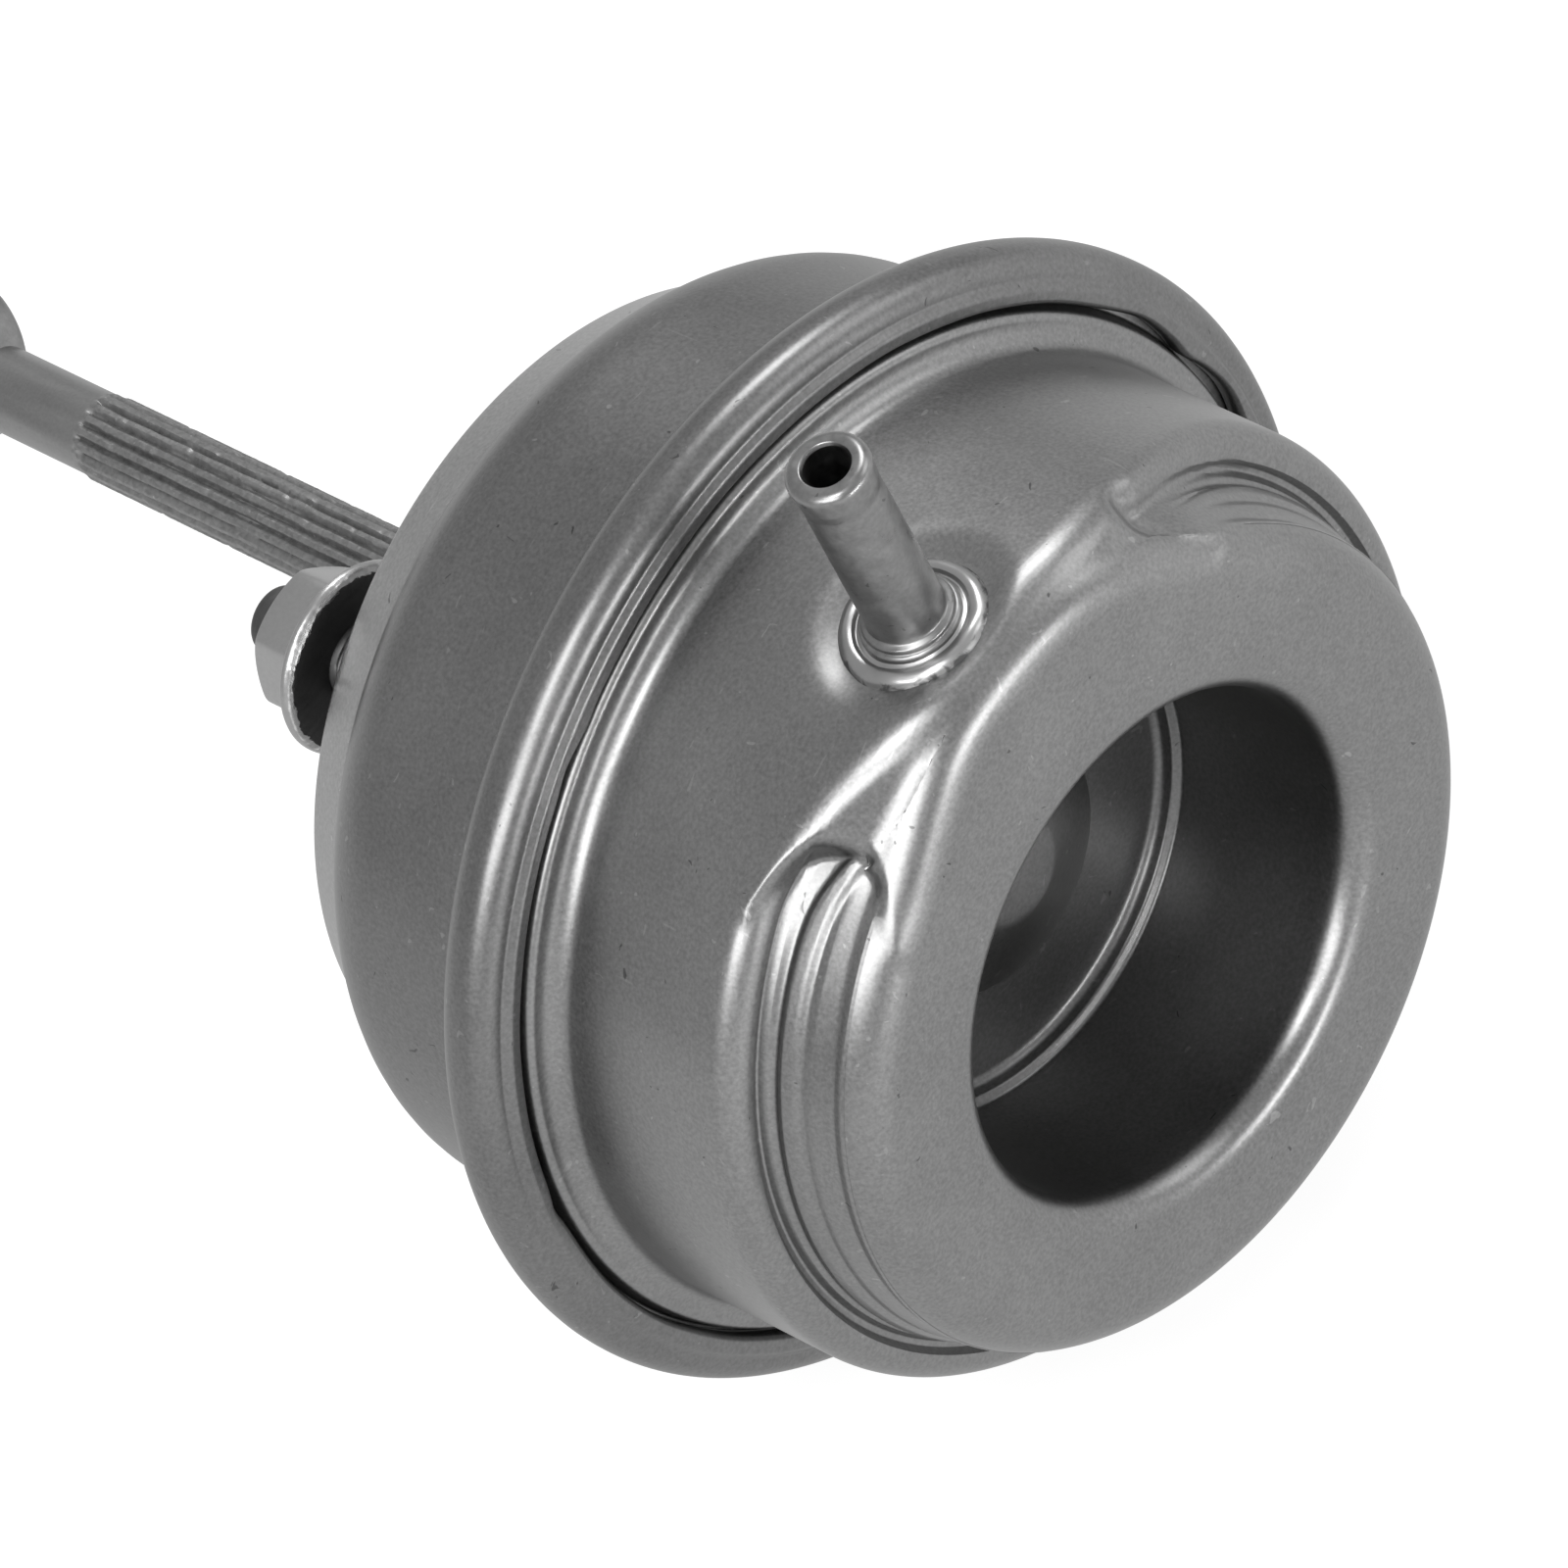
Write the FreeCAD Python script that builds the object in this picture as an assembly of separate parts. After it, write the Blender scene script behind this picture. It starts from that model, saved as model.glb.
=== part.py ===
import FreeCAD, Part
import math
import os
from FreeCAD import Vector

# Wastegate actuator, in millimetres.
# The rod slides along Y and points to +Y. The hose nipple points to +Z.
# The origin is the centre of the mounting face, the rear face of the disc that bolts to the bracket.
# An axial place is written as a distance: ahead() of the rolled rim's lip, or behind the mounting face (+Y).

# canister
sheet = 1.0
body_r = 28.5
lip_to_mount = 23.1
disc_thickness = 3.0
rear_corner_r = 5.4

# rolled rim, measured from the canister's wall and from its own lip
rim_reach = 5.5
rim_lip_reach = 3.0
rim_lip_drop = 0.35
rim_root_r = 1.2
flange_edge_gap = 1.0

# front half: bead, shoulder, groove, ridges and nose; each step in, from the one before it
bead_gap = 0.3
bead_slope = 0.6
bead_round_r = 0.8
bead_ahead = 0.35
bead_fillet_r = 1.4
shoulder_ahead = 13.7
shoulder_r = 1.8
shoulder_land = 0.25
groove_depth = 0.7
groove_width = 0.35
ridge_one_step = 0.4
ridge_one_rise = 0.35
ridge_two_step = 0.35
ridge_two_rise = 0.9
ridge_three_step = 0.1
ridge_three_rise = 2.2
ridge_dip = 0.25
ridge_round_r = 0.2
valley_round_r = 0.1
last_ridge_round_r = 0.4
nose_ahead = 20.3
nose_step = 0.05
nose_corner_r = 3.0
lobe_corner_r = 3.9
lobe_left_angle = 25.6
lobe_right_angle = 31.0

# well in the nose
well_rim_r = 15.15
well_rim_corner_r = 1.9
well_draft = 0.15
well_floor_ahead = 5.9
well_floor_corner_r = 1.3
dome_r = 8.2
dome_step = 0.9
dome_step_slope = 0.4
dome_round_r = 0.45
dome_top_ahead = 8.4
dome_top_r = 3.0
dome_top_round_r = 2.0

# hose nipple
nipple_ahead = 13.5
nipple_r = 2.35
nipple_bore_r = 1.35
nipple_tip = 43.1
nipple_tip_round = 0.6
nipple_mouth_round = 0.3
nipple_inside = 1.2
nipple_collar_r = 2.95
nipple_collar_above = 1.5
nipple_collar_height = 1.3
nipple_collar_round = 0.35
braze_ring_r = 3.85
braze_ring_height = 0.95
braze_ring_round = 0.55

# mounting disc, studs and nuts
disc_front_inset = 2.65
disc_taper = 1.75
disc_edge_round = 0.6
disc_rim_depth = 3.9
stud_inset = 9.2
stud_turn = -36.2
stud_count = 2
stud_shank_r = 2.5
stud_thread_r = 2.4
stud_press_r = 2.7
stud_head_r = 3.5
stud_head_height = 1.2
stud_head_round = 0.4
stud_reach = 9.5
stud_tip_round = 0.6
bracket_gap = 2.4
nut_height = 4.5
nut_across_flats = 8.0
nut_flange_r = 5.8
nut_flange_edge = 0.7
nut_edge_round = 0.23
nut_flange_height = 1.5
nut_chamfer = 0.5
nut_chamfer_reach = 1.0
nut_turn = 33.9
nut_sides = 6

# rod, knurl and eye
rod_r = 2.5
rod_tenon_r = 2.0
rod_head_r = 3.4
rod_head_height = 1.4
rod_head_round = 0.9
knurl_from_mount = 14.9
knurl_length = 27.3
knurl_teeth = 18
knurl_top_r = 2.62
knurl_root_r = 2.4
knurl_lead = 0.5
eye_from_mount = 55.25
eye_r = 5.2
eye_bore_r = 3.05
eye_thickness = 4.0
eye_chamfer = 0.5
eye_turn = -52.1

# moving pieces inside the canister
stroke = 10.0
rest_gap = 0.3
retainer_inset = 2.1
retainer_rim = 1.5
retainer_round = 1.6
diaphragm_thickness = 0.7
diaphragm_play = 0.1
diaphragm_wall_gap = 0.6
diaphragm_rim_round = 2.0
diaphragm_roll_ahead = -9.5
bead_height = 0.9
bead_width = 2.1
bead_play = 0.05
piston_side_gap = 5.9
piston_spare = 0.2
piston_corner_r = 1.6
washer_r = 8.0
washer_thickness = 1.0

# return spring and its seat
spring_mean_r = 11.0
spring_wire_r = 1.25
spring_turns = 3.5
spring_gap = 0.1
seat_sheet = 0.8
seat_inner_r = 8.3
seat_outer_r = 12.7
seat_upstand = 3.0
seat_corner_r = 0.9

# rod guide and seal
bush_r = 5.0
bush_flange_r = 7.8
bush_flange = 1.5
bush_nose = 5.0
bush_recess = 0.3
bush_edge_round = 0.4
wiper_r = 4.1
wiper_thickness = 1.6
wiper_washer_thickness = 0.4
wiper_washer_bore_r = 3.0

# clearances
rod_clearance = 0.05
fit_gap = 0.03

os.makedirs("parts", exist_ok=True)

# sizes that follow
full_turn = 360.0
lip_y = -lip_to_mount
can_bottom_y = -disc_thickness
can_floor_y = can_bottom_y - sheet
body_inner_r = body_r - sheet
rim_r = body_r + rim_reach
rim_lip_r = rim_r - rim_lip_reach
rim_bend_r = (rim_lip_drop + 3 * sheet + 3 * bead_play + bead_height) / 2
flange_r = rim_r - sheet - flange_edge_gap
bead_outer_r = rim_lip_r - bead_gap
crease_r = body_r - shoulder_r - shoulder_land
groove_r = crease_r - groove_width
ridge_one_r = groove_r - ridge_one_step
ridge_two_r = ridge_one_r - ridge_two_step
ridge_three_r = ridge_two_r - ridge_three_step
nose_side_r = ridge_three_r - nose_step
well_wall_r = well_rim_r - well_draft
nipple_foot_r = body_inner_r - nipple_inside
disc_front_r = body_r - disc_front_inset
disc_rear_r = disc_front_r - disc_taper
stud_circle_r = body_r - stud_inset
piston_r = body_inner_r - piston_side_gap
retainer_r = piston_r - retainer_inset
rod_axis = Vector(0, 1, 0)
origin = Vector(0, 0, 0)


def ahead(distance):
    """Axial place at a distance in front of the rolled rim's lip."""
    return lip_y - distance


def save(name, shape):
    """Writes one sub-part, as cleaned solids."""
    solid = shape.removeSplitter()
    solid.exportStep("parts/" + name + ".step")


def in_section(y, r):
    """A point of the section, which lies in the half plane of +Z."""
    return Vector(0, y, r)


def rounded_edges(corners):
    """Edges through (y, r, round) corners, each corner rounded by a tangent arc."""
    edges = []
    last = in_section(corners[0][0], corners[0][1])
    for before, here, after in zip(corners, corners[1:], corners[2:]):
        corner = in_section(here[0], here[1])
        to_before = (in_section(before[0], before[1]) - corner).normalize()
        to_after = (in_section(after[0], after[1]) - corner).normalize()
        radius = here[2]
        half = to_before.getAngle(to_after) / 2
        if radius > 0:
            reach = radius / math.tan(half)
            start = corner + to_before * reach
            end = corner + to_after * reach
            bisector = (to_before + to_after).normalize()
            middle = corner + bisector * (radius / math.sin(half) - radius)
            if start.distanceToPoint(last) > 1e-6:
                edges.append(Part.makeLine(last, start))
            edges.append(Part.Arc(start, middle, end).toShape())
            last = end
        else:
            edges.append(Part.makeLine(last, corner))
            last = corner
    edges.append(Part.makeLine(last, in_section(corners[-1][0], corners[-1][1])))
    return edges


def shifted(corners, thickness):
    """The same path moved to its left by the thickness, with its rounds kept concentric."""
    moved = []
    count = len(corners)
    for i in range(count):
        here = corners[i]
        before = corners[max(i - 1, 0)]
        after = corners[min(i + 1, count - 1)]
        a = Vector(here[0] - before[0], here[1] - before[1], 0)
        b = Vector(after[0] - here[0], after[1] - here[1], 0)
        if i == 0:
            a = b
        if i == count - 1:
            b = a
        a.normalize()
        b.normalize()
        left_a = Vector(-a.y, a.x, 0)
        left_b = Vector(-b.y, b.x, 0)
        mitre = (left_a + left_b) * (thickness / (1 + left_a.dot(left_b)))
        turn = a.cross(b).z
        radius = here[2] - thickness if turn > 0 else here[2] + thickness
        if here[2] == 0 and turn >= 0:
            radius = 0
        moved.append((here[0] + mitre.x, here[1] + mitre.y, max(radius, 0)))
    return moved


def face_between(outside, inside):
    """The section between two paths that run the same way."""
    other = list(reversed(inside))
    there = rounded_edges(outside)
    back = rounded_edges(other)
    first = in_section(outside[0][0], outside[0][1])
    last = in_section(outside[-1][0], outside[-1][1])
    start = in_section(other[0][0], other[0][1])
    end = in_section(other[-1][0], other[-1][1])
    joined = there + [Part.makeLine(last, start)] + back + [Part.makeLine(end, first)]
    return Part.Face(Part.Wire(joined))


def sheet_face(corners, thickness):
    """The section of a sheet whose one side is the path and whose other side lies to its left."""
    return face_between(corners, shifted(corners, thickness))


def closed_face(corners):
    """A face inside (y, r, round) corners; the first corner is a sharp one."""
    edges = rounded_edges(corners + [corners[0]])
    return Part.Face(Part.Wire(edges))


def turned(face, start=0.0, sweep=full_turn):
    """The solid that a section makes, turned about the rod's axis from a start angle."""
    section = face.copy()
    section.rotate(Vector(0, 0, 0), Vector(0, 1, 0), start)
    return section.revolve(Vector(0, 0, 0), Vector(0, 1, 0), sweep)


def rod_solid(radius, start_y, end_y):
    """A round bar on the rod's axis."""
    return Part.makeCylinder(radius, end_y - start_y, Vector(0, start_y, 0), Vector(0, 1, 0))


def ring_solid(inner_r, outer_r, start_y, end_y):
    """A plain ring on the rod's axis."""
    return rod_solid(outer_r, start_y, end_y).cut(rod_solid(inner_r, start_y, end_y))


def at_nipple(shape):
    """Stands a shape that was made along Y on the nipple's place, pointing up."""
    placed = shape.copy()
    placed.rotate(origin, Vector(1, 0, 0), 90)
    placed.translate(Vector(0, ahead(nipple_ahead), 0))
    return placed


def at_stud(shape, number):
    """Moves a shape from the rod's axis to a stud's place."""
    placed = shape.copy()
    placed.translate(Vector(0, 0, stud_circle_r))
    placed.rotate(origin, rod_axis, stud_turn + number * full_turn / stud_count)
    return placed


def flange_corners():
    """The front half's flange and bead, from its edge in the rolled rim to the foot of the wall."""
    flange_y = ahead(-sheet - bead_play)
    return [
        (flange_y, flange_r, 0),
        (flange_y, bead_outer_r, sheet / 2),
        (ahead(bead_ahead), bead_outer_r - bead_slope, bead_round_r),
        (ahead(bead_ahead), body_r, bead_fillet_r),
    ]


def well_corners():
    """The well, from its rim down to the raised centre of its floor."""
    return [
        (ahead(nose_ahead), well_rim_r, well_rim_corner_r),
        (ahead(well_floor_ahead), well_wall_r, well_floor_corner_r),
        (ahead(well_floor_ahead), dome_r, dome_round_r),
        (ahead(well_floor_ahead + dome_step), dome_r - dome_step_slope, dome_round_r),
        (ahead(dome_top_ahead), dome_top_r, dome_top_round_r),
        (ahead(dome_top_ahead), 0, 0),
    ]


def lobe_corners():
    """Outside of the front half where it carries the nipple: wall, round shoulder, face."""
    return flange_corners() + [(ahead(nose_ahead), body_r, lobe_corner_r)] + well_corners()


def nose_corners():
    """The nose's own corner and the well."""
    return [(ahead(nose_ahead), nose_side_r, nose_corner_r)] + well_corners()


def stepped_corners():
    """Outside of the front half away from the nipple: shoulder, groove, ridges, nose."""
    front_y = ahead(shoulder_ahead)
    ridge_one_ahead = shoulder_ahead + ridge_one_rise
    ridge_two_ahead = ridge_one_ahead + ridge_two_rise
    ridge_three_ahead = ridge_two_ahead + ridge_three_rise
    ridges = [
        (ridge_one_ahead, ridge_one_r),
        (ridge_two_ahead, ridge_two_r),
        (ridge_three_ahead, ridge_three_r),
    ]
    steps = [
        (front_y, body_r, shoulder_r),
        (front_y, crease_r, ridge_round_r),
        (front_y + groove_depth, groove_r, ridge_round_r),
        (front_y + groove_depth / 2, ridge_one_r + ridge_round_r, ridge_round_r),
    ]
    for (near_ahead, near_r), (far_ahead, far_r) in zip(ridges, ridges[1:]):
        steps.append((ahead(near_ahead), near_r, ridge_round_r))
        steps.append((ahead(near_ahead + ridge_dip), far_r - ridge_dip, valley_round_r))
    steps.append((ahead(ridge_three_ahead), ridge_three_r, last_ridge_round_r))
    return flange_corners() + steps + nose_corners()


def plain_stepped_corners():
    """The stepped path without its groove and ridges, which the sheet's inner side doesn't follow."""
    step_y = ahead(shoulder_ahead) + groove_depth / 2
    step = [(step_y, body_r, shoulder_r), (step_y, nose_side_r, sheet / 2)]
    return flange_corners() + step + nose_corners()


def front_can():
    """The pressed front half: the lobe's section and the stepped one, with a web where they meet."""
    stepped_inside = shifted(plain_stepped_corners(), sheet)
    lobe = sheet_face(lobe_corners(), sheet)
    stepped = face_between(stepped_corners(), stepped_inside)
    web = face_between(lobe_corners(), stepped_inside)
    web_angle = math.degrees(sheet / nose_side_r)
    lobe_sweep = lobe_left_angle + lobe_right_angle
    shell = turned(lobe, web_angle - lobe_left_angle, lobe_sweep - 2 * web_angle)
    shell = shell.fuse(turned(web, -lobe_left_angle, web_angle))
    shell = shell.fuse(turned(web, lobe_right_angle - web_angle, web_angle))
    shell = shell.fuse(turned(stepped, lobe_right_angle, full_turn - lobe_sweep))
    return shell.cut(at_nipple(rod_solid(nipple_r + fit_gap, nipple_foot_r, nipple_tip)))


def rear_can():
    """The pressed rear half, with its rim rolled over the front half's flange."""
    crest_y = ahead(rim_lip_drop)
    rear_flange_y = crest_y + 2 * rim_bend_r
    section = sheet_face([
        (can_bottom_y, bush_r + fit_gap, 0),
        (can_bottom_y, body_r, rear_corner_r),
        (rear_flange_y, body_r, rim_root_r),
        (rear_flange_y, rim_r, rim_bend_r),
        (crest_y, rim_r, rim_bend_r),
        (lip_y, rim_lip_r, 0),
    ], sheet)
    shell = turned(section)
    for number in range(stud_count):
        shell = shell.cut(at_stud(rod_solid(stud_press_r + fit_gap, can_floor_y - sheet, 0), number))
    return shell


def mounting_disc():
    """The turned disc behind the canister: tapered edge, front face seated on the can's round corner."""
    bore_r = bush_r + fit_gap
    blank = turned(closed_face([
        (0, bore_r, 0),
        (-disc_rim_depth, bore_r, 0),
        (-disc_rim_depth, disc_front_r, 0),
        (0, disc_rear_r, disc_edge_round),
    ]))
    seat = turned(closed_face([
        (can_bottom_y, 0, 0),
        (can_bottom_y - rear_corner_r, 0, 0),
        (can_bottom_y - rear_corner_r, body_r + fit_gap, 0),
        (can_bottom_y, body_r + fit_gap, rear_corner_r),
    ]))
    disc = blank.cut(seat)
    for number in range(stud_count):
        disc = disc.cut(at_stud(rod_solid(stud_press_r + fit_gap, can_bottom_y - sheet, sheet), number))
    return disc


def hose_nipple():
    """The turned tube with its collar."""
    collar = body_r + nipple_collar_above
    return at_nipple(turned(closed_face([
        (nipple_foot_r, nipple_bore_r, 0),
        (nipple_foot_r, nipple_r, 0),
        (collar, nipple_r, 0),
        (collar, nipple_collar_r, nipple_collar_round),
        (collar + nipple_collar_height, nipple_collar_r, nipple_collar_round),
        (collar + nipple_collar_height, nipple_r, 0),
        (nipple_tip, nipple_r, nipple_tip_round),
        (nipple_tip, nipple_bore_r, nipple_mouth_round),
    ])))


def nipple_braze_ring():
    """The ring of filler round the nipple, seated on the can's round wall."""
    top = body_r + braze_ring_height
    ring = at_nipple(turned(closed_face([
        (body_inner_r, nipple_r + fit_gap, 0),
        (body_inner_r, braze_ring_r, 0),
        (top, braze_ring_r, braze_ring_round),
        (top, nipple_r + fit_gap, 0),
    ])))
    return ring.cut(rod_solid(body_r, ahead(nipple_ahead + 2 * braze_ring_r), lip_y))


def retainer_front_y():
    """Front face of the retainer at rest, just clear of the well's floor."""
    return ahead(well_floor_ahead - sheet - rest_gap)


def piston_front_y():
    """Front face of the piston, behind the retainer and the diaphragm."""
    return retainer_front_y() + sheet + 2 * diaphragm_play + diaphragm_thickness


def shoulder_y():
    """The rod's shoulder, behind the backing washer."""
    return piston_front_y() + sheet + washer_thickness


def diaphragm_retainer():
    """The pressed dish on the pressure side, its rim turned forward."""
    front = retainer_front_y()
    return turned(sheet_face([
        (front - retainer_rim, retainer_r - sheet, 0),
        (front, retainer_r - sheet, retainer_round - sheet),
        (front, rod_tenon_r + fit_gap, 0),
    ], sheet))


def diaphragm():
    """The rolling diaphragm: bead in the rolled rim, outer leg, roll, inner leg, clamped centre."""
    bead_front_y = ahead(-2 * (sheet + bead_play))
    rim_y = bead_front_y + (bead_height - diaphragm_thickness) / 2
    top_y = retainer_front_y() + sheet + diaphragm_play
    inner_leg_r = piston_r + 2 * diaphragm_play + diaphragm_thickness
    outer_leg_r = body_inner_r - diaphragm_wall_gap - diaphragm_thickness
    roll_r = (outer_leg_r - inner_leg_r) / 2
    skin = turned(sheet_face([
        (rim_y, flange_r - bead_play, 0),
        (rim_y, outer_leg_r, diaphragm_rim_round),
        (ahead(diaphragm_roll_ahead), outer_leg_r, roll_r),
        (ahead(diaphragm_roll_ahead), inner_leg_r, roll_r),
        (top_y, inner_leg_r, piston_corner_r + diaphragm_thickness),
        (top_y, rod_tenon_r + diaphragm_play, 0),
    ], diaphragm_thickness))
    bead_outer = flange_r - bead_play
    bead = ring_solid(bead_outer - bead_width, bead_outer, bead_front_y, bead_front_y + bead_height)
    return skin.fuse(bead)


def piston_cup():
    """The pressed cup that the diaphragm rolls on, a little longer than the stroke."""
    front = piston_front_y()
    return turned(sheet_face([
        (front + stroke + piston_spare, piston_r, 0),
        (front, piston_r, piston_corner_r),
        (front, rod_tenon_r + fit_gap, 0),
    ], sheet))


def backing_washer():
    """The washer between the rod's shoulder and the piston."""
    back = shoulder_y()
    return ring_solid(rod_tenon_r + fit_gap, washer_r, back - washer_thickness, back)


def return_spring():
    """The compression spring, with ends ground flat on the piston and on the seat."""
    front = piston_front_y() + sheet + spring_gap
    back = can_floor_y - seat_sheet
    length = back - front
    pitch = length / spring_turns
    helix = Part.makeHelix(pitch, length, spring_mean_r)
    wire = Part.Wire(Part.makeCircle(spring_wire_r, Vector(spring_mean_r, 0, 0), Vector(0, 1, 0)))
    coil = Part.Wire(helix.Edges).makePipeShell([wire], True, True)
    coil.rotate(origin, Vector(1, 0, 0), -90)
    coil.translate(Vector(0, front, 0))
    return coil.common(ring_solid(seat_inner_r, piston_r - sheet, front, back))


def spring_seat():
    """The pressed ring on the can's floor that centres the spring."""
    return turned(sheet_face([
        (can_floor_y - seat_upstand, seat_inner_r, 0),
        (can_floor_y, seat_inner_r, seat_corner_r),
        (can_floor_y, seat_outer_r, 0),
    ], seat_sheet))


def guide_bush():
    """The flanged bush through the can's bottom and the disc, with a seat for the seal at its rear."""
    back = -bush_recess
    seal_front = back - wiper_washer_thickness - wiper_thickness
    flange_front = can_floor_y - bush_flange
    bore_r = rod_r + rod_clearance
    return turned(closed_face([
        (back, wiper_r + fit_gap, 0),
        (back, bush_r, 0),
        (can_floor_y, bush_r, 0),
        (can_floor_y, bush_flange_r, 0),
        (flange_front, bush_flange_r, bush_edge_round),
        (flange_front, bush_r, 0),
        (flange_front - bush_nose, bush_r, bush_edge_round),
        (flange_front - bush_nose, bore_r, 0),
        (seal_front, bore_r, 0),
        (seal_front, wiper_r + fit_gap, 0),
    ]))


def rod_wiper():
    """The seal ring in the rear of the bush."""
    back = -bush_recess - wiper_washer_thickness
    return ring_solid(rod_r + rod_clearance, wiper_r, back - wiper_thickness, back)


def wiper_washer():
    """The thin washer that keeps the seal ring in."""
    back = -bush_recess
    return ring_solid(wiper_washer_bore_r, wiper_r, back - wiper_washer_thickness, back)


def knurl():
    """Straight knurling: a toothed bar with tapered ends."""
    points = []
    for tooth in range(knurl_teeth):
        for radius, share in ((knurl_top_r, 0.0), (knurl_root_r, 0.5)):
            angle = 2 * math.pi * (tooth + share) / knurl_teeth
            points.append(Vector(radius * math.cos(angle), 0, radius * math.sin(angle)))
    outline = Part.Face(Part.makePolygon(points + [points[0]]))
    bar = outline.extrude(Vector(0, knurl_length, 0))
    near = knurl_from_mount
    far = near + knurl_length
    bar.translate(Vector(0, near, 0))
    envelope = turned(closed_face([
        (near, 0, 0),
        (near, knurl_root_r, 0),
        (near + knurl_lead, knurl_top_r, 0),
        (far - knurl_lead, knurl_top_r, 0),
        (far, knurl_root_r, 0),
        (far, 0, 0),
    ]))
    return bar.common(envelope)


def eye():
    """The flat forged eye, with its edges and bore chamfered."""
    ring = Part.makeCylinder(eye_r, eye_thickness, Vector(0, 0, -eye_thickness / 2))
    ring = ring.makeChamfer(eye_chamfer, [e for e in ring.Edges if len(e.Vertexes) == 1])
    ring.rotate(origin, rod_axis, eye_turn)
    ring.translate(Vector(0, eye_from_mount, 0))
    return ring


def eye_bore():
    """The bore through the eye, opened at both ends."""
    half = eye_thickness / 2
    bore = Part.makeCylinder(eye_bore_r, 2 * eye_thickness, Vector(0, 0, -eye_thickness))
    spread = 2 * eye_chamfer
    mouth = Part.makeCone(eye_bore_r, eye_bore_r + spread, spread, Vector(0, 0, half - eye_chamfer))
    other = mouth.mirror(origin, Vector(0, 0, 1))
    bore = bore.fuse(mouth).fuse(other)
    bore.rotate(origin, rod_axis, eye_turn)
    bore.translate(Vector(0, eye_from_mount, 0))
    return bore


def actuator_rod():
    """The rod in one piece: peened head, tenon, shank, knurl and eye."""
    head_y = retainer_front_y()
    knurl_end = knurl_from_mount + knurl_length
    bar = turned(closed_face([
        (head_y - rod_head_height, 0, 0),
        (head_y - rod_head_height, rod_head_r, rod_head_round),
        (head_y, rod_head_r, 0),
        (head_y, rod_tenon_r, 0),
        (shoulder_y(), rod_tenon_r, 0),
        (shoulder_y(), rod_r, 0),
        (knurl_from_mount, rod_r, 0),
        (knurl_from_mount, knurl_root_r, 0),
        (knurl_end, knurl_root_r, 0),
        (knurl_end, rod_r, 0),
        (eye_from_mount - eye_bore_r, rod_r, 0),
        (eye_from_mount - eye_bore_r, 0, 0),
    ]))
    return bar.fuse(knurl()).fuse(eye()).cut(eye_bore())


def stud():
    """A mounting stud: head inside the can, pressed shank, plain stretch for the bracket, thread."""
    return turned(closed_face([
        (can_floor_y - stud_head_height, 0, 0),
        (can_floor_y - stud_head_height, stud_head_r, stud_head_round),
        (can_floor_y, stud_head_r, 0),
        (can_floor_y, stud_press_r, 0),
        (0, stud_press_r, 0),
        (0, stud_shank_r, 0),
        (bracket_gap, stud_shank_r, 0),
        (bracket_gap, stud_thread_r, 0),
        (stud_reach, stud_thread_r, stud_tip_round),
        (stud_reach, 0, 0),
    ]))


def flange_nut():
    """A hexagon nut with its own flange, the flange towards the disc."""
    corner_r = nut_across_flats / 2 / math.cos(math.pi / nut_sides)
    top = bracket_gap + nut_height
    corners = []
    for side in range(nut_sides + 1):
        angle = math.radians(nut_turn) + 2 * math.pi * side / nut_sides
        corners.append(Vector(corner_r * math.cos(angle), bracket_gap, corner_r * math.sin(angle)))
    hexagon = Part.Face(Part.makePolygon(corners)).extrude(Vector(0, nut_height, 0))
    chamfer = turned(closed_face([
        (bracket_gap, 0, 0),
        (bracket_gap, corner_r, 0),
        (top - nut_chamfer, corner_r, 0),
        (top, corner_r - nut_chamfer_reach, 0),
        (top, 0, 0),
    ]))
    flange = turned(closed_face([
        (bracket_gap, 0, 0),
        (bracket_gap, nut_flange_r, nut_edge_round),
        (bracket_gap + nut_flange_edge, nut_flange_r, nut_edge_round),
        (bracket_gap + nut_flange_height, nut_across_flats / 2, 0),
        (bracket_gap + nut_flange_height, 0, 0),
    ]))
    bore = rod_solid(stud_thread_r + fit_gap, 0, top + sheet)
    return hexagon.common(chamfer).fuse(flange).cut(bore)


save("front_can", front_can())
save("rear_can", rear_can())
save("mounting_disc", mounting_disc())
save("hose_nipple", hose_nipple())
save("nipple_braze_ring", nipple_braze_ring())
save("diaphragm_retainer", diaphragm_retainer())
save("diaphragm", diaphragm())
save("piston_cup", piston_cup())
save("backing_washer", backing_washer())
save("return_spring", return_spring())
save("spring_seat", spring_seat())
save("guide_bush", guide_bush())
save("rod_wiper", rod_wiper())
save("wiper_washer", wiper_washer())
save("actuator_rod", actuator_rod())
for number, place in enumerate(("upper", "lower")):
    save("stud_" + place, at_stud(stud(), number))
    save("nut_" + place, at_stud(flange_nut(), number))
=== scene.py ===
import math

import bmesh
import bpy
import numpy as np
from mathutils import Matrix, Vector


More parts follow.
